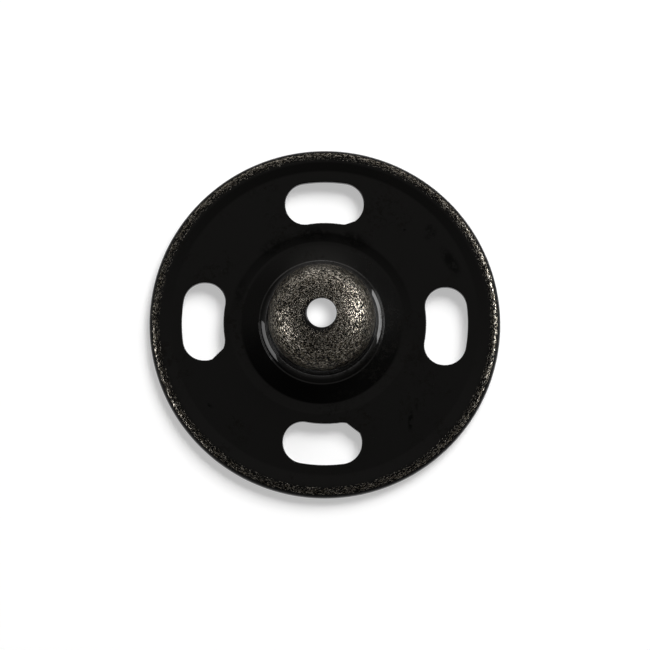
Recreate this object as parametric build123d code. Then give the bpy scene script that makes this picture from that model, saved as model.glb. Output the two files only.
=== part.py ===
from build123d import *

import math
import os

# Stud half of a large sew-on snap fastener, drawn and pierced from one disc of sheet metal.
# Frame: millimetres, +Z up along the disc's axis, origin on the ground at the disc's centre.
# The disc rests on the flat underside of its rolled rim, with the stud pointing up.

# Disc and rolled rim
disc_diameter = 30.0
sheet = 0.45
rim_height = 1.40
rim_outer_radius = 0.68
rim_rise = 0.07
rim_rise_start = 13.15
rim_rise_end = 13.95
hem_length = 1.25
hem_end_radius = 0.15

# Sewing slots, kidney shaped, one on each side of the stud, each a little off its quarter
slot_azimuths = [-0.7, 91.0, 180.1, 269.6]
slot_inner_radius = 8.66
slot_outer_radius = 12.20
slot_length = 6.70
slot_inner_corner = 1.68
slot_outer_corner = 1.78
slot_edge_round = 0.08

# Flats left by a worn punch in the slots' corners, with the metal on the right of each start to end
punch_flats = [
    ((1.40, 8.48), (2.60, 8.90)),
    ((-9.60, -3.28), (-8.58, -2.26)),
    ((3.07, -9.40), (1.95, -8.56)),
]
punch_flat_depth = 0.60
punch_flat_round = 0.10

# Drawn hub: a shallow cone inside a slight dip, with a small step round the stud's root
stud_offset_x = -0.28
hub_join_radius = 7.95
dip_outer_radius = 7.80
dip_radius = 6.90
dip_depth = 0.08
cone_top_radius = 5.36
cone_rise = 0.36
step_rise = 0.09
step_run = 0.10
land_slope = 19.0
root_radius = 4.60
root_under_offset = 0.40

# Hollow stud: a waisted neck under a domed head with a lipped pilot hole
drawn_sheet = 0.42
neck_radius = 4.30
neck_top = 3.35
head_radius = 4.55
head_bottom = 4.05
stud_height = 7.40
dome_radius = 2.75
pilot_radius = 1.25
pilot_lip = 0.16

# Bend radii of the sheet
soft_bend = 2.00
dip_bend = 1.00
root_bend = 1.10
waist_bend = 1.50
crease = 0.05

# Levels that follow from the dimensions above
disc_radius = disc_diameter / 2
flange_top = rim_height - rim_rise
flange_bottom = flange_top - sheet
cone_top = flange_top + cone_rise
land_radius = cone_top_radius - step_run
land_height = cone_top + step_rise
root_height = land_height + (land_radius - root_radius) * math.tan(math.radians(land_slope))
tolerance = 0.001


def turned(outline):
    """Turn a closed outline in radius and height about the vertical axis."""
    return revolve(Plane.XZ * make_face(outline), Axis.Z, 360)


def rolled_disc():
    """Flat disc whose edge rises to a bead, rolls over and is hemmed back underneath."""
    hem_inner = disc_radius - hem_length
    roll_inner = disc_radius - sheet
    roll_inner_radius = rim_outer_radius - sheet
    points = [
        (0, flange_top),
        (rim_rise_start, flange_top),
        (rim_rise_end, rim_height),
        (disc_radius, rim_height),
        (disc_radius, 0),
        (hem_inner, 0),
        (hem_inner, sheet),
        (roll_inner, sheet),
        (roll_inner, rim_height - sheet),
        (rim_rise_end, rim_height - sheet),
        (rim_rise_start, flange_bottom),
        (0, flange_bottom),
    ]
    bends = [0, soft_bend, soft_bend, rim_outer_radius, rim_outer_radius, hem_end_radius]
    bends += [hem_end_radius, roll_inner_radius, roll_inner_radius, soft_bend, soft_bend, 0]
    return turned(FilletPolyline(*points, radius=bends, close=True))


def outer_face_points():
    """Upper side of the hub and stud from the flange to the pilot hole, with each bend's radius."""
    return [
        ((hub_join_radius, flange_top), 0),
        ((dip_outer_radius, flange_top), soft_bend),
        ((dip_radius, flange_top - dip_depth), dip_bend),
        ((cone_top_radius, cone_top), crease),
        ((land_radius, land_height), crease),
        ((root_radius, root_height), root_bend),
        ((neck_radius, neck_top), waist_bend),
        ((head_radius, head_bottom), waist_bend),
        ((head_radius, stud_height), dome_radius),
        ((pilot_radius, stud_height), pilot_lip),
    ]


def inner_face_points():
    """Underside of the stud and hub from the pilot hole back to the flange."""
    root_under = (root_radius - root_under_offset, root_height - root_under_offset)
    return [
        ((pilot_radius, stud_height - drawn_sheet), 0),
        ((head_radius - drawn_sheet, stud_height - drawn_sheet), dome_radius - drawn_sheet),
        ((head_radius - drawn_sheet, head_bottom), waist_bend),
        ((neck_radius - drawn_sheet, neck_top), waist_bend),
        (root_under, root_bend + drawn_sheet),
        ((dip_radius, flange_bottom - dip_depth), dip_bend),
        ((dip_outer_radius, flange_bottom), soft_bend),
        ((hub_join_radius, flange_bottom), 0),
    ]


def drawn_stud():
    """Hub and hollow stud, drawn from the middle of the disc."""
    corners = outer_face_points() + inner_face_points()
    points = [point for point, _ in corners]
    bends = [bend for _, bend in corners]
    return turned(FilletPolyline(*points, radius=bends, close=True))


def slot_outline():
    """Kidney slot on the +X side: the ring between two arcs, cut to length, with round ends."""
    ring = Circle(slot_outer_radius) - Circle(slot_inner_radius)
    slot = ring & Rectangle(disc_radius, slot_length, align=(Align.MIN, Align.CENTER))
    slot = fillet(slot.vertices().sort_by(Axis.X)[:2], slot_inner_corner)
    return fillet(slot.vertices().sort_by(Axis.X)[-2:], slot_outer_corner)


def punch_flat(start, end):
    """Strip of metal left outside the straight line from start to end."""
    start = Vector(*start)
    along = Vector(*end) - start
    outward = along.cross(Vector(0, 0, 1)).normalized()
    middle = start + along * 0.5 + outward * (punch_flat_depth / 2)
    angle = math.degrees(math.atan2(along.Y, along.X))
    return Pos(middle.X, middle.Y) * Rot(0, 0, angle) * Rectangle(along.length, punch_flat_depth)


def sewing_slots():
    """The slots' outlines, with their punch flats left standing and softened at the ends."""
    slots = Sketch() + [Rot(0, 0, azimuth) * slot_outline() for azimuth in slot_azimuths]
    for start, end in punch_flats:
        slots -= punch_flat(start, end)
        flat = Line(start, end)
        ends = [corner for corner in slots.vertices() if flat.distance_to(corner) < tolerance]
        slots = fillet(ends, punch_flat_round)
    return slots


def is_slot_rim(edge):
    """Whether an edge runs round a slot on the flange's upper side."""
    middle = edge.center()
    reach = math.hypot(middle.X, middle.Y)
    return abs(middle.Z - flange_top) < tolerance and hub_join_radius < reach < rim_rise_start


def snap_stud_half():
    """One stamping: the rolled disc, with the stud drawn in its middle and the slots pierced."""
    to_stud = Pos(stud_offset_x, 0)
    disc = rolled_disc() - to_stud * Cylinder(hub_join_radius, 3 * rim_height)
    body = disc + to_stud * drawn_stud()
    body -= extrude(sewing_slots(), rim_height)
    return fillet(body.edges().filter_by(is_slot_rim), slot_edge_round)


def main():
    """Write the stamping to its file."""
    os.makedirs("parts", exist_ok=True)
    export_step(snap_stud_half(), "parts/snap_stud_half.step")


main()
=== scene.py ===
"""Looks of the stud half of a large sew-on snap fastener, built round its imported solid.

The frame is the solid's own: metres, +Z up along the disc's axis, origin on the ground at the
disc's centre. Sections and outlines are written in millimetres, as on a drawing, and every mesh
is brought to metres as its last step.
"""

from __future__ import annotations

import logging
import math
from dataclasses import dataclass
from dataclasses import field
from enum import Enum
from typing import NamedTuple

import bmesh
import bpy
from bpy.types import Material
from bpy.types import Mesh
from bpy.types import Node
from bpy.types import NodeSocket
from bpy.types import NodeTree
from bpy.types import Object
from bpy.types import World
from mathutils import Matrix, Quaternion
from mathutils import Vector

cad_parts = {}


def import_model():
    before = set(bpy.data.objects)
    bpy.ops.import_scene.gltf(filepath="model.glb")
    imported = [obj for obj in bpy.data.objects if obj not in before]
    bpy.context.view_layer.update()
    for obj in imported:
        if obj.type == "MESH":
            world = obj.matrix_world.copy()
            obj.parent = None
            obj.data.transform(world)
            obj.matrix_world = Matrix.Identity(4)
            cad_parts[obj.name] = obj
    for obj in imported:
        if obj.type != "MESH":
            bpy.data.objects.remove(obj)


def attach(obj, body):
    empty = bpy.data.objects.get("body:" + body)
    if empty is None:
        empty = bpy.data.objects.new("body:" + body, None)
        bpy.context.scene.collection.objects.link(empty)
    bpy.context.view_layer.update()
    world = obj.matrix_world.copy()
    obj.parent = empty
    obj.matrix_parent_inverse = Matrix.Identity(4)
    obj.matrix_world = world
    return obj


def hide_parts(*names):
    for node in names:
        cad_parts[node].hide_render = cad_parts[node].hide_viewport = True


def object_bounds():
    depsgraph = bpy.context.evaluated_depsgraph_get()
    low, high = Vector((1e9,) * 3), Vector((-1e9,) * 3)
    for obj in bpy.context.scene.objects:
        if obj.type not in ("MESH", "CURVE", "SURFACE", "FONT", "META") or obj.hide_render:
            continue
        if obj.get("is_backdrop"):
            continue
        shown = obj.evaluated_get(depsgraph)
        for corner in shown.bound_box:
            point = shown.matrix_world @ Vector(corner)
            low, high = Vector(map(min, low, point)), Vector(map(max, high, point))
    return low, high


MM = 0.001
PICTURE_SIDE = 650
SENSOR_WIDTH = 36.0
NODE = "snap_stud_half"
BODY = "root"
LOG = logging.getLogger("snap_fastener")

# A height in millimetres that no part of the stamping reaches
OUT_OF_REACH = 100.0

# The Mix node's sockets for its first value, its second and its result
MIX_SOCKETS = {"FLOAT": (2, 3, 0), "RGBA": (6, 7, 2)}

# Two numbers: a point's X and Y, or where a ramp starts and ends
Pair = tuple[float, float]

# A ramp's start and end, then its values there
Ease = tuple[float, float, float, float]

Color = tuple[float, float, float, float]


class Skin(Enum):
    """The named finishes that the stamping shows."""

    LACQUER = "gloss_lacquer"
    RIM = "rubbed_rim"
    HEAD = "rubbed_head"


class Rays(Enum):
    """What a lamp shows itself to."""

    GLOSS = "gloss"
    MATTE = "matte"


class Kind(Enum):
    """The types of a node group's sockets."""

    FLOAT = "NodeSocketFloat"
    COLOR = "NodeSocketColor"
    VECTOR = "NodeSocketVector"
    GEOMETRY = "NodeSocketGeometry"
    OBJECT = "NodeSocketObject"
    MATERIAL = "NodeSocketMaterial"


class Corner(NamedTuple):
    """One corner of a section, in millimetres, with the radius that the sheet bends through."""

    reach: float
    height: float
    bend: float = 0.0


@dataclass(frozen=True)
class Noise:
    """The settings of a noise texture.

    Attributes:
        scale: How many cells lie in one unit of its point.
        detail: How many finer layers it has.
        roughness: How strong each layer is against the one before.
        distortion: How far it is swirled.
    """

    scale: float
    detail: float
    roughness: float
    distortion: float = 0.0


@dataclass
class Tree:
    """A node tree that is being built.

    Attributes:
        tree: The node tree.
    """

    tree: NodeTree

    def add(self, kind: str, values: dict | None = None, **settings: object) -> Node:
        """Add a node.

        Args:
            kind: The node's type.
            values: What goes into its inputs, as for feed.
            settings: The node's own properties.

        Returns:
            The new node.
        """
        node = self.tree.nodes.new(kind)
        for name, value in settings.items():
            setattr(node, name, value)
        self.feed(node, values or {})
        return node

    def feed(self, node: Node, values: dict) -> None:
        """Link sockets to a node's inputs, or set the inputs' own values.

        Args:
            node: The node.
            values: A socket or a plain value for each input, by its name or number.
        """
        for key, value in values.items():
            if isinstance(value, NodeSocket):
                self.tree.links.new(value, node.inputs[key])
            else:
                node.inputs[key].default_value = value

    def read(self, kind: str, values: dict | None = None, output: int | str = 0,
             **settings: object) -> NodeSocket:
        """Add a node, as add does, and give one of its outputs."""
        return self.add(kind, values, **settings).outputs[output]

    def math(self, operation: str, *values: object, clamp: bool = False) -> NodeSocket:
        """Work out one number from others, kept between 0 and 1 where it is clamped."""
        inputs = dict(enumerate(values))
        return self.read("ShaderNodeMath", inputs, operation=operation, use_clamp=clamp)

    def times(self, first: object, second: object) -> NodeSocket:
        """Multiply two numbers."""
        return self.math("MULTIPLY", first, second)

    def whole(self, operation: str, first: object, second: object) -> NodeSocket:
        """Work out one whole number from two others."""
        return self.read("FunctionNodeIntegerMath", {0: first, 1: second}, operation=operation)

    def vector(self, operation: str, *values: object) -> NodeSocket:
        """Work out one vector from others."""
        return self.read("ShaderNodeVectorMath", dict(enumerate(values)), operation=operation)

    def length(self, vector: object) -> NodeSocket:
        """Measure a vector."""
        return self.read("ShaderNodeVectorMath", {0: vector}, "Value", operation="LENGTH")

    def scaled(self, vector: object, factor: object) -> NodeSocket:
        """Make a vector longer by a factor."""
        inputs = {0: vector, "Scale": factor}
        return self.read("ShaderNodeVectorMath", inputs, operation="SCALE")

    def split(self, vector: object) -> list[NodeSocket]:
        """Take a vector apart into X, Y and Z."""
        return list(self.add("ShaderNodeSeparateXYZ", {"Vector": vector}).outputs)

    def joined(self, **axes: object) -> NodeSocket:
        """Put a vector together from any of X, Y and Z."""
        return self.read("ShaderNodeCombineXYZ", axes)

    def drawing_point(self) -> NodeSocket:
        """Read the surface point in millimetres."""
        return self.scaled(self.read("ShaderNodeTexCoord", output="Object"), 1 / MM)

    def polar(self, point: object, centre: object) -> tuple[NodeSocket, ...]:
        """Measure a point from an upright axis.

        Args:
            point: The point.
            centre: A point on the axis.

        Returns:
            The radius, the flat direction from the axis, and the height.
        """
        x, y, z = self.split(self.vector("SUBTRACT", point, centre))
        flat = self.joined(X=x, Y=y)
        return self.length(flat), self.vector("NORMALIZE", flat), z

    def attribute(self, name: str, data_type: str) -> NodeSocket:
        """Read a named attribute."""
        return self.read("GeometryNodeInputNamedAttribute", {"Name": name}, data_type=data_type)

    def ramp(self, value: object, low: float, high: float, start: float = 0.0,
             end: float = 1.0) -> NodeSocket:
        """Ease a number: it is start up to low, and turns smoothly into end from high on."""
        inputs = {"Value": value, "From Min": low, "From Max": high, "To Min": start, "To Max": end}
        return self.read("ShaderNodeMapRange", inputs, "Result", interpolation_type="SMOOTHSTEP")

    def mix(self, kind: str, share: object, first: object, second: object) -> NodeSocket:
        """Mix two values.

        Args:
            kind: "FLOAT" for numbers or "RGBA" for colours.
            share: How much of the second there is.
            first: The value at a share of 0.
            second: The value at a share of 1.

        Returns:
            The mixed value's socket.
        """
        start, end, result = MIX_SOCKETS[kind]
        inputs = {0: share, start: first, end: second}
        return self.read("ShaderNodeMix", inputs, result, data_type=kind)

    def noise(self, point: object, noise: Noise, fourth: NodeSocket | None = None) -> NodeSocket:
        """Read a noise.

        Args:
            point: Where it is read.
            noise: Its settings.
            fourth: How far along a fourth axis it is read, where it has one.

        Returns:
            The socket of its value, from 0 to 1.
        """
        values = {"Vector": point, "Scale": noise.scale, "Detail": noise.detail,
                  "Roughness": noise.roughness, "Distortion": noise.distortion}
        if fourth is None:
            return self.read("ShaderNodeTexNoise", values, "Fac")
        values["W"] = self.times(fourth, noise.scale)
        return self.read("ShaderNodeTexNoise", values, "Fac", noise_dimensions="4D")


def new_group(name: str, kind: str, inputs: dict[str, Kind],
              outputs: dict[str, Kind]) -> tuple[Tree, bpy.types.NodeOutputs]:
    """Make a node group with its sockets.

    Args:
        name: The group's name.
        kind: "ShaderNodeTree" or "GeometryNodeTree".
        inputs: Its inputs' types, by name.
        outputs: Its outputs' types, by name.

    Returns:
        The tree, and the sockets that its inputs come in by.
    """
    group = bpy.data.node_groups.new(name, kind)
    for sockets, way in ((inputs, "INPUT"), (outputs, "OUTPUT")):
        for label, socket in sockets.items():
            group.interface.new_socket(label, in_out=way, socket_type=socket.value)
    tree = Tree(group)
    return tree, tree.add("NodeGroupInput").outputs


def placed(name: str, data: bpy.types.ID) -> Object:
    """Put an object in the scene.

    Args:
        name: The object's name.
        data: Its mesh, light or camera.

    Returns:
        The object, at the origin.
    """
    thing = bpy.data.objects.new(name, data)
    bpy.context.scene.collection.objects.link(thing)
    return thing


@dataclass
class Section:
    """A line of corners through the sheet, measured outward from the loop that it follows.

    Attributes:
        corners: The corners in order.
        turn_per_step: The angle that one step of a bend turns through, in degrees.
        fewest_steps: How many steps a bend takes at least.
    """

    corners: list[Corner]
    turn_per_step: float = 7.5
    fewest_steps: int = 2

    def steps(self, index: int) -> int:
        """Count the steps that a bend takes.

        Args:
            index: Which corner.

        Returns:
            The number of steps.
        """
        if index in (0, len(self.corners) - 1):
            return 1
        before, at, after = self.corners[index - 1:index + 2]
        first = Vector((at.reach - before.reach, at.height - before.height))
        second = Vector((after.reach - at.reach, after.height - at.height))
        turn = math.degrees(first.angle(second))
        return max(self.fewest_steps, math.ceil(turn / self.turn_per_step))

    def mesh(self) -> Mesh:
        """Draw the section.

        Returns:
            A mesh of edges that carry each corner's bend.
        """
        mesh = bpy.data.meshes.new("section")
        points = [(corner.reach, corner.height, 0.0) for corner in self.corners]
        mesh.from_pydata(points, [(i, i + 1) for i in range(len(points) - 1)], [])
        bends = mesh.attributes.new("bend", "FLOAT", "POINT")
        bends.data.foreach_set("value", [corner.bend for corner in self.corners])
        steps = mesh.attributes.new("steps", "INT", "POINT")
        steps.data.foreach_set("value", [self.steps(i) for i in range(len(points))])
        return mesh


@dataclass
class Loop:
    """A closed line in the plane of the disc, with the direction that leads outward at each point.

    Attributes:
        points: The points in order, in millimetres.
        outward: A unit direction for each point.
    """

    points: list[Vector]
    outward: list[Vector]

    @classmethod
    def circle(cls, radius: float, count: int, centre: float = 0.0) -> Loop:
        """Make a round loop about a centre on the X axis."""
        ways = [Vector((math.cos(a), math.sin(a))) for a in
                (2 * math.pi * i / count for i in range(count))]
        return cls([Vector((centre, 0.0)) + way * radius for way in ways], ways)

    @classmethod
    def closed(cls, points: list[Vector]) -> Loop:
        """Make a loop from points that run counterclockwise round an opening.

        Args:
            points: The points, none of them twice.

        Returns:
            The loop, whose outward directions lead away from the opening.
        """
        ways = []
        for before, after in zip(points[-1:] + points[:-1], points[1:] + points[:1]):
            along = after - before
            ways.append(Vector((along.y, -along.x)).normalized())
        return cls(points, ways)

    def grown(self, reach: float) -> list[Vector]:
        """List the points, each moved outward."""
        return [point + way * reach for point, way in zip(self.points, self.outward)]

    def mesh(self) -> Mesh:
        """Draw the loop.

        Returns:
            A mesh of points that carry their outward directions.
        """
        mesh = bpy.data.meshes.new("loop")
        mesh.from_pydata([(p.x, p.y, 0.0) for p in self.points], [], [])
        ways = mesh.attributes.new("outward", "FLOAT_VECTOR", "POINT")
        ways.data.foreach_set("vector", [v for way in self.outward for v in (way.x, way.y, 0.0)])
        return mesh


class SheetTools:
    """The Geometry Nodes trees that press and punch the sheet, and the calls that run them.

    Attributes:
        seam_gap: How far apart a loop's two ends may lie and still close, in millimetres.
    """

    seam_gap = 0.0005

    def __init__(self) -> None:
        """Build both trees."""
        self.forming = self.forming_tree()
        self.flat = self.flat_tree()

    @staticmethod
    def dressed(tree: Tree, sheet: object, finish: object) -> NodeSocket:
        """Shade a sheet smooth, make it real and give it its finish."""
        smooth = tree.read("GeometryNodeSetShadeSmooth", {"Geometry": sheet, "Shade Smooth": True})
        real = tree.read("GeometryNodeRealizeInstances", {"Geometry": smooth})
        return tree.read("GeometryNodeSetMaterial", {"Geometry": real, "Material": finish})

    def forming_tree(self) -> NodeTree:
        """Build the tree that carries a section round a loop.

        Returns:
            The tree. Its inputs are the section, the loop's object, the finish, and a second
            finish for what lies above a height.
        """
        inputs = {"Section": Kind.GEOMETRY, "Loop": Kind.OBJECT, "Finish": Kind.MATERIAL,
                  "Upper finish": Kind.MATERIAL, "Upper from": Kind.FLOAT}
        outputs = {"Sheet": Kind.GEOMETRY}
        tree, given = new_group("Sheet formed round a loop", "GeometryNodeTree", inputs, outputs)
        bent = tree.read("GeometryNodeFilletCurve", {
            "Curve": tree.read("GeometryNodeMeshToCurve", {"Mesh": given["Section"]}),
            "Count": tree.attribute("steps", "INT"),
            "Radius": tree.attribute("bend", "FLOAT"),
            "Limit Radius": True,
        }, mode="POLY")
        row = tree.read("GeometryNodeCurveToPoints", {"Curve": bent}, "Points", mode="EVALUATED")
        loop = tree.read("GeometryNodeObjectInfo", {"Object": given["Loop"]}, "Geometry")
        rows, columns = (
            tree.read("GeometryNodeAttributeDomainSize", {"Geometry": points}, "Point Count",
                      component=component)
            for points, component in ((row, "POINTCLOUD"), (loop, "MESH")))
        sides = {"Vertices X": tree.whole("ADD", columns, 1), "Vertices Y": rows}
        grid = tree.read("GeometryNodeMeshGrid", sides, "Mesh")
        index = tree.read("GeometryNodeInputIndex")
        in_row = tree.whole("MODULO", index, rows)
        round_at = tree.whole("MODULO", tree.whole("DIVIDE_FLOOR", index, rows), columns)
        place = tree.read("GeometryNodeInputPosition")

        def sampled(geometry: object, value: object, where: object) -> NodeSocket:
            """Read a vector from a geometry's point by its number."""
            values = {"Geometry": geometry, "Value": value, "Index": where}
            return tree.read("GeometryNodeSampleIndex", values, "Value",
                             data_type="FLOAT_VECTOR", domain="POINT")

        reach, rise, _ = tree.split(sampled(row, place, in_row))
        way = sampled(loop, tree.attribute("outward", "FLOAT_VECTOR"), round_at)
        moved = tree.vector("ADD", sampled(loop, place, round_at), tree.scaled(way, reach))
        spot = tree.vector("ADD", moved, tree.joined(Z=rise))
        formed = tree.read("GeometryNodeSetPosition", {"Geometry": grid, "Position": spot})
        closed = tree.read("GeometryNodeMergeByDistance",
                           {"Geometry": formed, "Distance": self.seam_gap})
        _, _, height = tree.split(place)
        above = tree.read("FunctionNodeCompare", {0: height, 1: given["Upper from"]},
                          data_type="FLOAT", operation="GREATER_THAN")
        upper = tree.read("GeometryNodeSetMaterial", {
            "Geometry": self.dressed(tree, closed, given["Finish"]),
            "Selection": above,
            "Material": given["Upper finish"],
        })
        tree.add("NodeGroupOutput", {"Sheet": upper})
        return tree.tree

    def flat_tree(self) -> NodeTree:
        """Build the tree that fills the flat sheet between loops.

        Returns:
            The tree. Its inputs are the loops as edges, the sheet's height and the finish.
        """
        inputs = {"Loops": Kind.GEOMETRY, "Height": Kind.FLOAT, "Finish": Kind.MATERIAL}
        outputs = {"Sheet": Kind.GEOMETRY}
        tree, given = new_group("Flat sheet between loops", "GeometryNodeTree", inputs, outputs)
        curve = tree.read("GeometryNodeMeshToCurve", {"Mesh": given["Loops"]})
        filled = tree.read("GeometryNodeFillCurve", {"Curve": curve}, mode="TRIANGLES")
        rise = tree.joined(Z=given["Height"])
        raised = tree.read("GeometryNodeTransform", {"Geometry": filled, "Translation": rise})
        tree.add("NodeGroupOutput", {"Sheet": self.dressed(tree, raised, given["Finish"])})
        return tree.tree

    @staticmethod
    def run(mesh: Mesh, tree: NodeTree, values: dict) -> Mesh:
        """Run a tree on a mesh.

        Args:
            mesh: What goes in.
            tree: The tree.
            values: The tree's other inputs, by name.

        Returns:
            The plain mesh that comes out.
        """
        worker = placed("worker", mesh)
        modifier = worker.modifiers.new("tool", "NODES")
        modifier.node_group = tree
        for item in tree.interface.items_tree:
            if item.in_out == "INPUT" and item.name in values:
                modifier[item.identifier] = values[item.name]
        graph = bpy.context.evaluated_depsgraph_get()
        result = bpy.data.meshes.new_from_object(worker.evaluated_get(graph))
        bpy.data.objects.remove(worker)
        return result

    def form(self, section: Section, loop: Loop, finish: Material,
             upper: Material | None = None, above: float = OUT_OF_REACH) -> Mesh:
        """Carry a section round a loop.

        Args:
            section: The section.
            loop: The loop.
            finish: The finish of the result.
            upper: The finish of what lies above a height.
            above: That height, in millimetres.

        Returns:
            The formed sheet.
        """
        path = placed("path", loop.mesh())
        values = {"Loop": path, "Finish": finish, "Upper finish": upper or finish,
                  "Upper from": above}
        result = self.run(section.mesh(), self.forming, values)
        bpy.data.objects.remove(path)
        return result

    def fill(self, loops: list[list[Vector]], height: float, finish: Material) -> Mesh:
        """Fill the flat sheet between loops.

        Args:
            loops: Each loop's points.
            height: The sheet's height.
            finish: The finish of the result.

        Returns:
            The flat sheet.
        """
        mesh = bpy.data.meshes.new("loops")
        points, edges = [], []
        for loop in loops:
            first, count = len(points), len(loop)
            points += [(p.x, p.y, 0.0) for p in loop]
            edges += [(first + i, first + (i + 1) % count) for i in range(count)]
        mesh.from_pydata(points, edges, [])
        return self.run(mesh, self.flat, {"Height": height, "Finish": finish})


@dataclass(frozen=True)
class PunchFlat:
    """A straight bite that a worn punch left in a slot's corner, metal on the right of its run."""

    start: Pair
    end: Pair


@dataclass
class SewingSlots:
    """The four kidney-shaped slots that the thread goes through.

    Lengths are in millimetres and angles in degrees. The cut edge is rounded by edge_round, and
    edge_land is how far it reaches on over the flat. A worn corner is bitten off only where the
    bite is between the two depths.
    """

    azimuths: tuple[float, ...] = (-0.7, 91.0, 180.1, 269.6)
    inner_radius: float = 8.66
    outer_radius: float = 12.20
    length: float = 6.70
    inner_corner: float = 1.68
    outer_corner: float = 1.78
    edge_round: float = 0.08
    edge_land: float = 0.05
    flat_end_round: float = 0.10
    shallowest_bite: float = 1e-4
    deepest_bite: float = 0.60
    turn_per_point: float = 5.0
    flats: tuple[PunchFlat, ...] = (
        PunchFlat((1.40, 8.48), (2.60, 8.90)),
        PunchFlat((-9.60, -3.28), (-8.58, -2.26)),
        PunchFlat((3.07, -9.40), (1.95, -8.56)),
    )

    @staticmethod
    def arc(centre: Vector, radius: float, start: float, end: float, count: int) -> list[Vector]:
        """List the points on an arc from one angle to another in count steps."""
        angles = [start + (end - start) * i / count for i in range(count + 1)]
        return [centre + Vector((math.cos(a), math.sin(a))) * radius for a in angles]

    def kidney(self) -> list[Vector]:
        """Draw the slot on the +X side.

        Returns:
            The outline's points, counterclockwise.
        """
        half = self.length / 2
        inner_y, outer_y = half - self.inner_corner, half - self.outer_corner
        inner_x = math.sqrt((self.inner_radius + self.inner_corner) ** 2 - inner_y ** 2)
        outer_x = math.sqrt((self.outer_radius - self.outer_corner) ** 2 - outer_y ** 2)
        inner_lean = math.atan2(inner_y, inner_x)
        outer_lean = math.atan2(outer_y, outer_x)
        full, quarter = 2 * math.pi, math.pi / 2
        steps = round(90 / self.turn_per_point)
        arcs = (
            (0.0, 0.0, self.outer_radius, -outer_lean, outer_lean, 2 * steps),
            (outer_x, outer_y, self.outer_corner, outer_lean, quarter, steps),
            (inner_x, inner_y, self.inner_corner, quarter, math.pi + inner_lean, steps),
            (0.0, 0.0, self.inner_radius, inner_lean, -inner_lean, 2 * steps),
            (inner_x, -inner_y, self.inner_corner, math.pi - inner_lean, 3 * quarter, steps),
            (outer_x, -outer_y, self.outer_corner, 3 * quarter, full - outer_lean, steps),
        )
        fresh_starts = (0, 2, 5)
        points = []
        for number, (x, y, *shape) in enumerate(arcs):
            arc = self.arc(Vector((x, y)), *shape)
            points += arc if number in fresh_starts else arc[1:]
        return points[:-1]

    def bitten(self, points: list[Vector], flat: PunchFlat) -> list[Vector]:
        """Cut a slot's outline short along a punch flat.

        Args:
            points: The outline.
            flat: The flat.

        Returns:
            The outline with the flat and its two softened ends in it, or as it was where the
            flat belongs to another slot.
        """
        start, end = Vector(flat.start), Vector(flat.end)
        along = (end - start).normalized()
        metal = Vector((along.y, -along.x))
        reach = (end - start).length
        beyond = []
        for point in points:
            run, bite = (point - start).dot(along), (point - start).dot(metal)
            beyond.append(self.shallowest_bite < bite < self.deepest_bite and 0.0 < run < reach)
        if not any(beyond):
            return points
        count = len(points)
        first = next(i for i in range(count) if beyond[i] and not beyond[i - 1])
        turned = points[first:] + points[:first]
        kept = [p for p, out in zip(turned, beyond[first:] + beyond[:first]) if not out]
        ends = []
        for inside, outside in ((kept[-1], turned[0]), (kept[0], turned[count - len(kept) - 1])):
            high, low = (outside - start).dot(metal), (inside - start).dot(metal)
            ends.append(inside.lerp(outside, min(1.0, max(0.0, low / (low - high)))))
        soft = self.softened(kept[-1], ends[0], ends[1])
        soft += self.softened(ends[0], ends[1], kept[0])
        return kept + soft

    def softened(self, before: Vector, at: Vector, after: Vector) -> list[Vector]:
        """Round one corner off, from a third of flat_end_round before it to as far after it.

        Args:
            before: The point before the corner.
            at: The corner.
            after: The point after it.

        Returns:
            The points that stand in for the corner.
        """
        first = (before - at).normalized()
        second = (after - at).normalized()
        cut = self.flat_end_round / 3
        ends = at + first * min(cut, (before - at).length / 2), at + second * cut
        return [ends[0], (ends[0] + ends[1] + at * 2) / 4, ends[1]]

    def loops(self) -> list[Loop]:
        """Make the outline of each slot.

        Returns:
            A loop for each slot, which leads away from the opening.
        """
        loops = []
        for azimuth in self.azimuths:
            turn = Quaternion((0.0, 0.0, 1.0), math.radians(azimuth))
            points = [(turn @ point.to_3d()).to_2d() for point in self.kidney()]
            for flat in self.flats:
                points = self.bitten(points, flat)
            loops.append(Loop.closed(points))
        return loops

    def edge_section(self, top: float, bottom: float) -> Section:
        """Draw the slot's cut edge, rounded above and sharp below.

        Args:
            top: The sheet's upper face.
            bottom: Its lower face.

        Returns:
            The section, measured outward from the slot's outline.
        """
        return Section([
            Corner(self.edge_round + self.edge_land, top),
            Corner(0.0, top, self.edge_round),
            Corner(0.0, bottom),
        ], turn_per_step=18.0)


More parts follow.
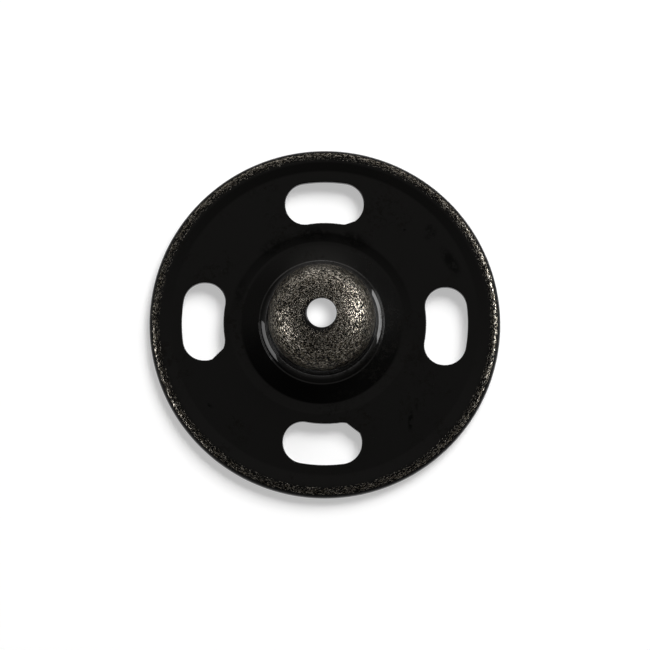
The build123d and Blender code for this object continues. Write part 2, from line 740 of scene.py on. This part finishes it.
@dataclass
class StudHalf:
    """The stamping: one disc of sheet with a rolled rim, four slots and a hollow drawn stud.

    Lengths are in millimetres and angles in degrees. Points closer than merge_within become one,
    and an edge that turns by more than sharp_from is shaded sharp.
    """

    disc_radius: float = 15.0
    sheet: float = 0.45
    rim_height: float = 1.40
    rim_outer_radius: float = 0.68
    rim_rise: float = 0.07
    rim_rise_start: float = 13.15
    rim_rise_end: float = 13.95
    rim_joint: float = 13.00
    hem_length: float = 1.25
    hem_end_radius: float = 0.15
    stud_offset: float = -0.28
    hub_joint: float = 7.95
    dip_outer: float = 7.80
    dip_radius: float = 6.90
    dip_depth: float = 0.08
    cone_top_radius: float = 5.36
    cone_rise: float = 0.36
    step_rise: float = 0.09
    step_run: float = 0.10
    land_slope: float = 19.0
    root_radius: float = 4.60
    root_under: float = 0.40
    drawn_sheet: float = 0.42
    neck_radius: float = 4.30
    neck_top: float = 3.35
    head_radius: float = 4.55
    head_bottom: float = 4.05
    stud_height: float = 7.40
    dome_radius: float = 2.75
    pilot_radius: float = 1.25
    pilot_lip: float = 0.16
    soft_bend: float = 2.00
    dip_bend: float = 1.00
    root_bend: float = 1.10
    waist_bend: float = 1.50
    crease: float = 0.05
    rim_points: int = 360
    hub_points: int = 288
    merge_within: float = 0.002
    sharp_from: float = 35.0
    slots: SewingSlots = field(default_factory=SewingSlots)

    @property
    def top(self) -> float:
        """Height of the flange's upper face."""
        return self.rim_height - self.rim_rise

    @property
    def bottom(self) -> float:
        """Height of the flange's lower face."""
        return self.top - self.sheet

    @property
    def cone_top(self) -> float:
        """Height of the cone's upper edge."""
        return self.top + self.cone_rise

    @property
    def land(self) -> Corner:
        """Outer edge of the land that runs from the step to the stud's root."""
        return Corner(self.cone_top_radius - self.step_run, self.cone_top + self.step_rise,
                      self.crease)

    @property
    def root(self) -> Corner:
        """Corner between the land and the neck."""
        rise = (self.land.reach - self.root_radius) * math.tan(math.radians(self.land_slope))
        return Corner(self.root_radius, self.land.height + rise, self.root_bend)

    def rim_section(self) -> Section:
        """Draw the rim.

        Returns:
            Its section from the flange's upper face, over the bead and back underneath.
        """
        full = self.disc_radius
        tight = self.rim_outer_radius - self.sheet
        return self.from_loop(full, [
            (self.rim_joint, self.top),
            (self.rim_rise_start, self.top, self.soft_bend),
            (self.rim_rise_end, self.rim_height, self.soft_bend),
            (full, self.rim_height, self.rim_outer_radius),
            (full, 0.0, self.rim_outer_radius),
            (full - self.hem_length, 0.0, self.hem_end_radius),
            (full - self.hem_length, self.sheet, self.hem_end_radius),
            (full - self.sheet, self.sheet, tight),
            (full - self.sheet, self.rim_height - self.sheet, tight),
            (self.rim_rise_end, self.rim_height - self.sheet, self.soft_bend),
            (self.rim_rise_start, self.bottom, self.soft_bend),
            (self.rim_joint, self.bottom),
        ])

    def outer_section(self) -> Section:
        """Draw the stud's outside.

        Returns:
            Its section from the flange to the lower edge of the pilot hole.
        """
        return self.from_loop(self.hub_joint, [
            (self.hub_joint, self.top),
            (self.dip_outer, self.top, self.soft_bend),
            (self.dip_radius, self.top - self.dip_depth, self.dip_bend),
            (self.cone_top_radius, self.cone_top, self.crease),
            self.land,
            self.root,
            (self.neck_radius, self.neck_top, self.waist_bend),
            (self.head_radius, self.head_bottom, self.waist_bend),
            (self.head_radius, self.stud_height, self.dome_radius),
            (self.pilot_radius, self.stud_height, self.pilot_lip),
            (self.pilot_radius, self.stud_height - self.drawn_sheet),
        ])

    def inner_section(self) -> Section:
        """Draw the stud's inside.

        Returns:
            Its section from the lower edge of the pilot hole back to the flange.
        """
        root = self.root
        bore = self.neck_radius - self.drawn_sheet
        head = self.head_radius - self.drawn_sheet
        roof = self.stud_height - self.drawn_sheet
        return self.from_loop(self.hub_joint, [
            (self.pilot_radius, roof),
            (head, roof, self.dome_radius - self.drawn_sheet),
            (head, self.head_bottom, self.waist_bend),
            (bore, self.neck_top, self.waist_bend),
            (root.reach - self.root_under, root.height - self.root_under,
             root.bend + self.drawn_sheet),
            (self.dip_radius, self.bottom - self.dip_depth, self.dip_bend),
            (self.dip_outer, self.bottom, self.soft_bend),
            (self.hub_joint, self.bottom),
        ])

    @staticmethod
    def from_loop(radius: float, rows: list[tuple[float, ...]]) -> Section:
        """Measure rows of reach, height and bend from a round loop instead of its centre."""
        return Section([Corner(reach - radius, *rest) for reach, *rest in rows])

    def sheets(self, tools: SheetTools, finishes: dict[Skin, Material]) -> list[Mesh]:
        """Make every part of the stamping's surface.

        Args:
            tools: The trees that form and fill the sheet.
            finishes: The material for each skin.

        Returns:
            The meshes, in millimetres, which meet edge to edge.
        """
        lacquer = finishes[Skin.LACQUER]
        rim = Loop.circle(self.disc_radius, self.rim_points)
        hub = Loop.circle(self.hub_joint, self.hub_points, self.stud_offset)
        slots = self.slots.loops()
        edge = self.slots.edge_section(self.top, self.bottom)
        waist = (self.neck_top + self.head_bottom) / 2
        meshes = [
            tools.form(self.rim_section(), rim, finishes[Skin.RIM]),
            tools.form(self.outer_section(), hub, lacquer, finishes[Skin.HEAD], waist),
            tools.form(self.inner_section(), hub, lacquer),
        ]
        meshes += [tools.form(edge, slot, lacquer) for slot in slots]
        ring = rim.grown(self.rim_joint - self.disc_radius)
        outlines = [ring, hub.points]
        above = [slot.grown(self.slots.edge_round + self.slots.edge_land) for slot in slots]
        below = [slot.points for slot in slots]
        meshes.append(tools.fill(outlines + above, self.top, lacquer))
        meshes.append(tools.fill(outlines + below, self.bottom, lacquer))
        return meshes

    def piece(self, tools: SheetTools, finishes: dict[Skin, Material]) -> Object:
        """Join the surface into one closed piece.

        Args:
            tools: The trees that form and fill the sheet.
            finishes: The material for each skin.

        Returns:
            The piece, in metres, at the origin.
        """
        order = list(finishes.values())
        whole = bmesh.new()
        for mesh in self.sheets(tools, finishes):
            slots = [order.index(m) if m in order else 0 for m in mesh.materials]
            for polygon in mesh.polygons:
                polygon.material_index = slots[polygon.material_index]
            whole.from_mesh(mesh)
            bpy.data.meshes.remove(mesh)
        bmesh.ops.remove_doubles(whole, verts=whole.verts, dist=self.merge_within)
        bmesh.ops.recalc_face_normals(whole, faces=whole.faces)
        loose = sum(1 for edge in whole.edges if len(edge.link_faces) != 2)
        volume = whole.calc_volume(signed=True)
        bmesh.ops.scale(whole, vec=(MM, MM, MM), verts=whole.verts)
        mesh = bpy.data.meshes.new("stud_half")
        whole.to_mesh(mesh)
        whole.free()
        for material in order:
            mesh.materials.append(material)
        mesh.set_sharp_from_angle(angle=math.radians(self.sharp_from))
        piece = placed("stud_half", mesh)
        LOG.info("stud_half: %d faces, %.2f cubic mm, %d open edges", len(mesh.polygons), volume,
                 loose)
        return piece


class FinishGroups:
    """Shader node groups that more than one finish uses.

    Attributes:
        wide: The noise of the smeared areas and of the sheet's slow waves.
        smeared: The values between which a smeared area comes in.
        fine: The noise of the smears, which stand a little proud of the waves.
        smear_edge: The values between which a smear comes in.
        ripple: The smears' relief, as a share of the waves.
        dust: The noise of the dust.
        dust_edge: The values between which a speck of dust comes in.
        grain: The noise of the rubbed metal's grains.
        bars: The value that a grain has to pass at no cover, and how far it falls at full cover.
        grain_edge: How far under and over that value a grain comes in.
        thin_cover: The covers between which the grains come in.
        wear: The noise of how much metal shows.
        wear_spread: How much that noise changes the cover.
        hue: The noise of the grains' polish.
        shine_edge: The values between which a grain turns from dull to polished.
        grain_roughness: The roughness of a dull grain and of a polished one.
    """

    wide = Noise(0.32, 2.0, 0.5)
    smeared = (0.48, 0.66)
    fine = Noise(2.6, 4.0, 0.62)
    smear_edge = (0.46, 0.64)
    ripple = 0.02
    dust = Noise(9.0, 2.0, 0.7)
    dust_edge = (0.66, 0.74)
    grain = Noise(1.0, 1.0, 0.6, 0.5)
    bars = (0.65, 0.30)
    grain_edge = (-0.015, 0.02)
    thin_cover = (0.0, 0.10)
    wear = Noise(1.6, 2.0, 0.6)
    wear_spread = 0.8
    hue = Noise(0.7, 1.0, 0.6, 0.3)
    shine_edge = (0.43, 0.60)
    grain_roughness = (0.46, 0.22)

    def __init__(self) -> None:
        """Build the groups."""
        self.lacquer = self.lacquer_group()
        self.speckle = self.speckle_group()

    def lacquer_group(self) -> NodeTree:
        """Build the black lacquer: dust, smears and a slow waviness over the whole sheet.

        Returns:
            The group. It puts out a colour, the share of gloss that is left, and a height.
        """
        inputs = {"Base": Kind.COLOR, "Dust": Kind.COLOR, "Smears": Kind.FLOAT}
        outputs = {"Color": Kind.COLOR, "Gloss": Kind.FLOAT, "Height": Kind.FLOAT}
        tree, given = new_group("Black lacquer", "ShaderNodeTree", inputs, outputs)
        point = tree.drawing_point()
        wide, fine, dust = (
            tree.noise(point, noise) for noise in (self.wide, self.fine, self.dust))
        smear = tree.times(tree.ramp(fine, *self.smear_edge), tree.ramp(wide, *self.smeared))
        soiled = tree.math("ADD", smear, tree.ramp(dust, *self.dust_edge), clamp=True)
        cover = tree.times(soiled, given["Smears"])
        tree.add("NodeGroupOutput", {
            "Color": tree.mix("RGBA", cover, given["Base"], given["Dust"]),
            "Gloss": tree.math("SUBTRACT", 1.0, cover),
            "Height": tree.math("ADD", wide, tree.times(fine, self.ripple)),
        })
        return tree.tree

    def speckle_group(self) -> NodeTree:
        """Build the sandy, rubbed metal that shows through the lacquer.

        Returns:
            The group. Its grains are drawn out round an upright axis. It puts out the share of
            bare metal, its colour, its roughness and a height.
        """
        inputs = {"Centre": Kind.VECTOR, "Grains across": Kind.FLOAT, "Grains round": Kind.FLOAT,
                  "Cover": Kind.FLOAT, "Polish": Kind.FLOAT, "Metal": Kind.COLOR,
                  "Shade": Kind.COLOR}
        outputs = {"Fleck": Kind.FLOAT, "Color": Kind.COLOR, "Roughness": Kind.FLOAT,
                   "Height": Kind.FLOAT}
        tree, given = new_group("Rubbed speckle", "ShaderNodeTree", inputs, outputs)
        point = tree.drawing_point()
        radius, way, up = tree.polar(point, given["Centre"])
        x, y, _ = tree.split(tree.scaled(way, given["Grains round"]))
        across = given["Grains across"]
        spot = tree.joined(X=x, Y=y, Z=tree.times(radius, across))
        tall = tree.times(up, across)
        grain = tree.noise(spot, self.grain, tall)
        hue = tree.noise(spot, self.hue, tall)
        bias = tree.math("SUBTRACT", tree.noise(point, self.wear), 0.5)
        share = tree.math("ADD", tree.times(bias, self.wear_spread), 1.0)
        cover = tree.times(given["Cover"], share)
        highest, fall = self.bars
        bar = tree.math("SUBTRACT", highest, tree.times(cover, fall))
        stands = tree.ramp(tree.math("SUBTRACT", grain, bar), *self.grain_edge)
        shine = tree.times(tree.ramp(hue, *self.shine_edge), given["Polish"])
        tree.add("NodeGroupOutput", {
            "Fleck": tree.times(stands, tree.ramp(cover, *self.thin_cover)),
            "Color": tree.mix("RGBA", shine, given["Shade"], given["Metal"]),
            "Roughness": tree.ramp(shine, 0.0, 1.0, *self.grain_roughness),
            "Height": grain,
        })
        return tree.tree


@dataclass(frozen=True)
class Scuff:
    """A place on the flange where the lacquer has lost its gloss.

    Attributes:
        centre: The X and Y of its middle, in millimetres.
        length: Its half length.
        width: Its half width.
        turn: The direction of its length, in degrees counterclockwise from +X.
        loss: The share of the gloss that is gone in its middle.
        level: The height of the face that it lies on.
        depth: How far above and below that height it reaches.
        core: The share of its size over which the loss is full.
    """

    centre: Pair
    length: float
    width: float
    turn: float
    loss: float
    level: float = 1.33
    depth: float = 0.3
    core: float = 0.3

    def mask(self, tree: Tree, point: NodeSocket) -> NodeSocket:
        """Work out the share of gloss that is gone at a point.

        Args:
            tree: The material's tree.
            point: The point, in millimetres.

        Returns:
            The share's socket.
        """
        spot = tree.read("ShaderNodeMapping", {
            "Vector": point,
            "Location": (*self.centre, self.level),
            "Rotation": (0.0, 0.0, math.radians(self.turn)),
            "Scale": (self.length, self.width, self.depth),
        }, vector_type="TEXTURE")
        return tree.ramp(tree.length(spot), self.core, 1.0, self.loss, 0.0)


@dataclass(frozen=True)
class Lacquer:
    """Gloss black lacquer: a clear, glossy skin over a dull black.

    Attributes:
        base: The dull black's colour.
        dust: The colour of the dust that lies on it.
        smears: How much dust and smearing lies on it.
        waves: How much the sheet under it waves, in millimetres.
        index: The dull black's refractive index.
        dullness: The dull black's roughness.
        skin_index: The skin's refractive index.
        skin_roughness: The skin's roughness.
        blot: The noise that breaks the scuffs up.
        blot_edge: The values between which a scuff comes in.
        scuffs: Where the gloss is gone.
    """

    base: Color = (0.0010, 0.0010, 0.0009, 1.0)
    dust: Color = (0.0040, 0.0037, 0.0033, 1.0)
    smears: float = 0.9
    waves: float = 0.06
    index: float = 1.15
    dullness: float = 0.35
    skin_index: float = 1.48
    skin_roughness: float = 0.05
    blot: Noise = Noise(1.9, 3.0, 0.65)
    blot_edge: Pair = (0.36, 0.56)
    scuffs: tuple[Scuff, ...] = (
        Scuff((8.9, 8.0), 1.1, 0.7, 80.0, 0.6),
        Scuff((10.7, 5.4), 1.9, 0.7, 122.0, 0.7),
        Scuff((6.7, 8.1), 0.25, 0.18, 0.0, 1.0),
        Scuff((7.4, -8.3), 1.2, 0.3, 88.0, 0.9),
        Scuff((7.9, -6.7), 1.0, 0.22, 93.0, 0.7),
        Scuff((-9.7, -7.25), 0.4, 0.2, -45.0, 0.9),
        Scuff((2.4, 7.2), 2.0, 0.9, -22.0, 0.7),
        Scuff((-1.0, 7.7), 2.2, 0.9, 3.0, 0.7),
        Scuff((-4.3, 6.6), 2.0, 0.9, 30.0, 0.6),
        Scuff((-7.3, 2.6), 1.8, 0.6, 72.0, 0.4),
    )

    def paint(self, tree: Tree, shader: Node, groups: FinishGroups) -> tuple[Node, NodeSocket]:
        """Place the lacquer's group and set what is the same all over.

        Args:
            tree: The material's tree.
            shader: The material's shader.
            groups: The shared groups.

        Returns:
            The group's node, and the normal of the waving sheet.
        """
        inputs = {"Base": self.base, "Dust": self.dust, "Smears": self.smears}
        node = tree.add("ShaderNodeGroup", inputs, node_tree=groups.lacquer)
        tree.feed(shader, {"IOR": self.index, "Roughness": self.dullness,
                           "Coat IOR": self.skin_index, "Coat Roughness": self.skin_roughness})
        relief = {"Strength": 1.0, "Distance": self.waves * MM, "Height": node.outputs["Height"]}
        return node, tree.read("ShaderNodeBump", relief, "Normal")

    def material(self, name: str, groups: FinishGroups) -> Material:
        """Make the material of the plain lacquered sheet.

        Args:
            name: The material's name.
            groups: The shared groups.

        Returns:
            The material.
        """
        material, tree, shader = blank_material(name)
        paint, normal = self.paint(tree, shader, groups)
        point = tree.drawing_point()
        lost = 0.0
        for scuff in self.scuffs:
            lost = tree.math("MAXIMUM", lost, scuff.mask(tree, point))
        blot = tree.ramp(tree.noise(point, self.blot), *self.blot_edge)
        left = tree.math("SUBTRACT", 1.0, tree.times(lost, blot))
        gloss = tree.times(paint.outputs["Gloss"], left)
        color = paint.outputs["Color"]
        tree.feed(shader, {"Base Color": color, "Coat Weight": gloss, "Normal": normal})
        return material


@dataclass(frozen=True)
class Rubbed:
    """Lacquer rubbed through to sandy bare metal.

    Attributes:
        lacquer: The lacquer round it.
        grains_across: How many grains lie in a millimetre across the rub.
        stretch: How much longer the grains are along the rub.
        cover: How much of the metal shows in the middle of the patch.
        metal: The colour of the polished grains.
        shade: The colour of the dull grains, also used as painted shade where the patch dulls past
        its outer radii.
        depth: The grain's height, in millimetres.
    """

    lacquer: Lacquer
    grains_across: float = 18.0
    stretch: float = 2.5
    cover: float = 0.39
    metal: Color = (0.97, 0.91, 0.80, 1.0)
    shade: Color = (0.135, 0.116, 0.084, 1.0)
    depth: float = 0.036

    def material(self, name: str, groups: FinishGroups, region: Region) -> Material:
        """Make the material.

        Args:
            name: The material's name.
            groups: The shared groups.
            region: Where the metal shows.

        Returns:
            The material.
        """
        material, tree, shader = blank_material(name)
        paint, normal = self.lacquer.paint(tree, shader, groups)
        worn, cover, polish = region.patch(tree)
        grain = tree.add("ShaderNodeGroup", {
            "Centre": (*region.axis, 0.0),
            "Grains across": self.grains_across,
            "Grains round": self.grains_across * region.rub_radius / self.stretch,
            "Cover": tree.times(cover, self.cover),
            "Polish": polish,
            "Metal": self.metal,
            "Shade": self.shade,
        }, node_tree=groups.speckle).outputs
        bare = grain["Fleck"]
        bump = tree.read("ShaderNodeBump", {
            "Strength": 1.0,
            "Distance": self.depth * MM,
            "Height": tree.times(grain["Height"], worn),
            "Normal": normal,
        }, "Normal")
        left = tree.math("SUBTRACT", 1.0, worn)
        tree.feed(shader, {
            "Base Color": tree.mix("RGBA", bare, paint.outputs["Color"], grain["Color"]),
            "Metallic": bare,
            "Roughness": tree.mix("FLOAT", bare, self.lacquer.dullness, grain["Roughness"]),
            "Coat Weight": tree.times(paint.outputs["Gloss"], left),
            "Normal": bump,
        })
        return material


@dataclass(frozen=True)
class Region:
    """Where a rubbed patch lies.

    Attributes:
        axis: The X and Y of the axis that the rub goes round, in millimetres.
        rub_radius: How far from that axis most of the rub is.
        centre: The X and Y that the patch's inner edge goes round.
        middle: The X and Y that its outer edge goes round.
        inner: The radii between which the patch comes in.
        outer: The radii between which the metal thins out and dulls, as painted shade for the dark
        surroundings that the dome's flank and the bead's outer face reflect.
        left: The share that is left outside the outer radius.
        height: The heights between which it comes in.
        painted_shade_polish: The polish that is left outside the outer radius, which darkens the
        grains there as painted shade.
    """

    axis: Pair
    rub_radius: float
    centre: Pair
    middle: Pair
    inner: Pair
    outer: Pair
    left: float
    height: Pair
    painted_shade_polish: float = 0.35

    def patch(self, tree: Tree) -> tuple[NodeSocket, NodeSocket, NodeSocket]:
        """Work out what the patch is like at a point.

        Args:
            tree: The material's tree.

        Returns:
            How much of the lacquer's gloss is gone, how much metal shows as a share of the
            patch's middle, and how polished it is.
        """
        point = tree.drawing_point()
        radius, _, up = tree.polar(point, (*self.centre, 0.0))
        worn = tree.times(tree.ramp(radius, *self.inner), tree.ramp(up, *self.height))
        # Past the outer radii the metal thins and dulls: painted shade for the dark surroundings
        # reflected there
        radius, _, _ = tree.polar(point, (*self.middle, 0.0))
        thin = tree.ramp(radius, *self.outer, 1.0, self.left)
        polish = tree.ramp(radius, *self.outer, 1.0, self.painted_shade_polish)
        return worn, tree.times(worn, thin), polish


def blank_material(name: str) -> tuple[Material, Tree, Node]:
    """Make a material with nothing but its shader.

    Args:
        name: The material's name.

    Returns:
        The material, its tree and its Principled BSDF.
    """
    material = bpy.data.materials.new(name)
    material.use_nodes = True
    return material, Tree(material.node_tree), material.node_tree.nodes["Principled BSDF"]


def empty_tree(owner: Material | World) -> Tree:
    """Give a material or a world a node tree with nothing in it.

    Args:
        owner: The material or world.

    Returns:
        The tree.
    """
    owner.use_nodes = True
    owner.node_tree.nodes.clear()
    return Tree(owner.node_tree)


@dataclass
class Lamp:
    """A soft panel that stands round the object.

    Attributes:
        name: The lamp's name.
        azimuth: Where it stands, in degrees counterclockwise from +X.
        elevation: The height of its middle above the floor, in degrees.
        width: Its width, in degrees.
        height: Its height, in degrees.
        brightness: Its radiance, where 1 is white.
        rays: Whether gloss or matte surfaces see it.
        distance: How far off it stands, in metres.
    """

    name: str
    azimuth: float
    elevation: float
    width: float
    height: float
    brightness: float
    rays: Rays
    distance: float = 0.5

    def across(self, degrees: float) -> float:
        """Measure what an angle spans at the lamp's distance, in metres."""
        return 2 * self.distance * math.tan(math.radians(degrees / 2))

    def build(self) -> None:
        """Make the lamp and turn it to the object."""
        light = bpy.data.lights.new(self.name, "AREA")
        light.shape = "RECTANGLE"
        light.size = self.across(self.width)
        light.size_y = self.across(self.height)
        light.energy = self.brightness * math.pi * light.size * light.size_y
        lamp = placed(self.name, light)
        a, e = math.radians(self.azimuth), math.radians(self.elevation)
        away = Vector((math.cos(a) * math.cos(e), math.sin(a) * math.cos(e), math.sin(e)))
        lamp.location = away * self.distance
        lamp.rotation_euler = (-away).to_track_quat("-Z", "Y").to_euler()
        lamp.visible_camera = False
        lamp.visible_diffuse = self.rays is Rays.MATTE
        lamp.visible_glossy = self.rays is Rays.GLOSS


@dataclass
class Studio:
    """The pale floor, the lamps, the room and the camera.

    The camera leans by tilt and turns by roll, and the point at aim_height over the disc's centre
    lies at disc_middle in the picture. It sees from near, a share of its distance, to far. Under
    the stud's hollow, in the spot that is seen through the pilot hole, the floor glows white: a
    painted pool of light where the stud's shade falls. The room's light is a sum of ramps: by how
    far north it comes from for the ceiling and two walls, by how high for the low wall. The
    floor's side and far are in metres, other lengths in millimetres.
    """

    tilt: float = 8.4
    roll: float = 0.8
    lens: float = 250.0
    pixels_per_mm: float = 11.70
    disc_middle: Pair = (324.9, 323.9)
    aim_height: float = 0.7
    near: float = 0.1
    far: float = 20.0
    floor_side: float = 6.0
    floor_gap: float = 0.02
    floor_color: float = 0.60
    floor_glow: float = 0.44
    # Middle of the floor's painted pool of light under the stud's hollow, and the radii it fades
    # over
    spot: Pair = (-0.83, 0.60)
    painted_light_spot_edge: Pair = (0.20, 1.65)
    ceiling: Ease = (-0.08, 0.22, 0.0, 0.13)
    ceiling_sides: Ease = (0.15, 0.50, 1.0, 0.45)
    far_wall: Ease = (0.56, 0.88, 0.0, 0.38)
    near_wall: Ease = (-0.62, -0.40, 0.06, 0.0)
    low_wall: Ease = (0.10, 0.65, 0.18, 0.0)
    dimmest: float = 0.012
    room_color: Color = (1.0, 0.965, 0.93, 1.0)
    lamps: tuple[Lamp, ...] = (
        Lamp("right_panel", 16.0, 28.5, 42.0, 29.0, 5.6, Rays.GLOSS),
        Lamp("left_panel", 192.0, 29.0, 36.0, 30.0, 2.8, Rays.GLOSS),
        Lamp("key", 58.0, 47.0, 31.0, 31.0, 13.6, Rays.MATTE, distance=1.0),
    )

    def camera(self) -> None:
        """Set the camera over the disc, leaning towards the picture's lower edge."""
        data = bpy.data.cameras.new("camera")
        data.lens = self.lens
        data.sensor_width = SENSOR_WIDTH
        tilt = math.radians(self.tilt)
        back = Vector((0.0, -math.sin(tilt), math.cos(tilt)))
        distance = self.lens / SENSOR_WIDTH * PICTURE_SIDE / self.pixels_per_mm * MM
        turn = (-back).to_track_quat("-Z", "Y")
        turn = turn @ Quaternion((0.0, 0.0, 1.0), math.radians(self.roll))
        middle = PICTURE_SIDE / 2
        shift = Vector((middle - self.disc_middle[0], self.disc_middle[1] - middle, 0.0))
        aim = Vector((0.0, 0.0, self.aim_height * MM)) + turn @ (shift * MM / self.pixels_per_mm)
        data.clip_start = distance * self.near
        data.clip_end = self.far
        camera = placed("camera", data)
        camera.location = aim + back * distance
        camera.rotation_mode = "QUATERNION"
        camera.rotation_quaternion = turn
        bpy.context.scene.camera = camera

    def floor(self) -> None:
        """Lay the white floor, which keeps the object's shadow."""
        half = self.floor_side / 2
        mesh = bpy.data.meshes.new("floor")
        corners = [(-half, -half, 0.0), (half, -half, 0.0), (half, half, 0.0), (-half, half, 0.0)]
        mesh.from_pydata(corners, [], [(0, 1, 2, 3)])
        material = bpy.data.materials.new("floor")
        mesh.materials.append(material)
        tree = empty_tree(material)
        path = tree.add("ShaderNodeLightPath").outputs
        seen = tree.math("ADD", path["Is Camera Ray"], path["Is Glossy Ray"])
        seen = tree.math("ADD", seen, path["Is Transmission Ray"], clamp=True)
        place = tree.read("ShaderNodeTexCoord", output="Object")
        # Painted pool of light: the floor glows white under the stud's hollow, where the stud's
        # shade falls
        away = tree.vector("ADD", place, (*[-axis * MM for axis in self.spot], 0.0))
        edge = [radius * MM for radius in self.painted_light_spot_edge]
        spot = tree.ramp(tree.length(away), *edge, 1.0 - self.floor_glow, 0.0)
        glow = tree.times(seen, tree.math("ADD", spot, self.floor_glow))
        paint = tree.read("ShaderNodeBsdfDiffuse", {"Color": (*[self.floor_color] * 3, 1.0)})
        light = tree.read("ShaderNodeEmission", {"Strength": glow})
        both = tree.read("ShaderNodeAddShader", {0: paint, 1: light})
        tree.add("ShaderNodeOutputMaterial", {"Surface": both})
        floor = placed("floor", mesh)
        floor.location.z = -self.floor_gap * MM
        floor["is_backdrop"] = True

    def room(self) -> None:
        """Light the room: dim, darkest round the camera, paler beyond the picture's top."""
        world = bpy.data.worlds.new("room")
        tree = empty_tree(world)
        east, north, up = tree.split(tree.read("ShaderNodeTexCoord", output="Generated"))
        sides = tree.ramp(tree.math("ABSOLUTE", east), *self.ceiling_sides)
        ceiling = tree.times(tree.ramp(north, *self.ceiling), sides)
        walls = tree.math("ADD", tree.ramp(north, *self.far_wall),
                          tree.ramp(north, *self.near_wall))
        low = tree.math("ADD", tree.ramp(up, *self.low_wall), self.dimmest)
        level = tree.math("ADD", tree.math("ADD", ceiling, walls), low)
        sky = tree.read("ShaderNodeBackground", {"Color": self.room_color, "Strength": level})
        tree.add("ShaderNodeOutputWorld", {"Surface": sky})
        bpy.context.scene.world = world

    def build(self) -> None:
        """Set the whole studio up."""
        self.camera()
        self.floor()
        self.room()
        for lamp in self.lamps:
            lamp.build()
            LOG.info("lamp %s", lamp.name)


def plain_bounds() -> list[list[float]]:
    """List the lowest and highest corner of what is shown."""
    bpy.context.view_layer.update()
    return [list(corner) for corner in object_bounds()]


def main() -> None:
    """Build the looks round the frame."""
    logging.basicConfig(level=logging.INFO, format="%(name)s: %(message)s")
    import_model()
    solid_box = plain_bounds()
    bpy.context.scene.view_settings.view_transform = "Standard"
    Studio().build()
    groups = FinishGroups()
    lacquer = Lacquer()
    stud = StudHalf()
    axis = (stud.stud_offset, 0.0)
    # The head's patch goes round points off the stud's axis, so the dome stays darker by the hole's
    # lower left and on its south flank: painted shade
    head = Region(axis, rub_radius=3.2, centre=(axis[0] - 0.2, -0.25),
                  middle=(axis[0] - 0.05, 0.12), inner=(1.2, 1.7), outer=(3.3, 4.05), left=0.8,
                  height=(4.0, 4.5))
    # The bead's outer face loses its metal and polish: painted shade for the dark surroundings it
    # reflects
    rim = Region((0.0, 0.0), rub_radius=14.6, centre=(0.0, 0.0), middle=(0.0, 0.0),
                 inner=(14.0, 14.6), outer=(14.63, 14.80), left=0.04, height=(0.8, 1.1))
    rubbed_rim = Rubbed(lacquer, grains_across=20.0, stretch=3.4, cover=0.325,
                        metal=(0.88, 0.825, 0.73, 1.0), depth=0.02)
    finishes = {
        Skin.LACQUER: lacquer.material(Skin.LACQUER.value, groups),
        Skin.RIM: rubbed_rim.material(Skin.RIM.value, groups, rim),
        Skin.HEAD: Rubbed(lacquer).material(Skin.HEAD.value, groups, head),
    }
    piece = stud.piece(SheetTools(), finishes)
    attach(piece, BODY)
    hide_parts(NODE)
    {"solid": solid_box, "shown": plain_bounds()}
    LOG.info("piece %s rides on %s and stands for %s", piece.name, BODY, NODE)


if __name__ == "__main__":
    main()
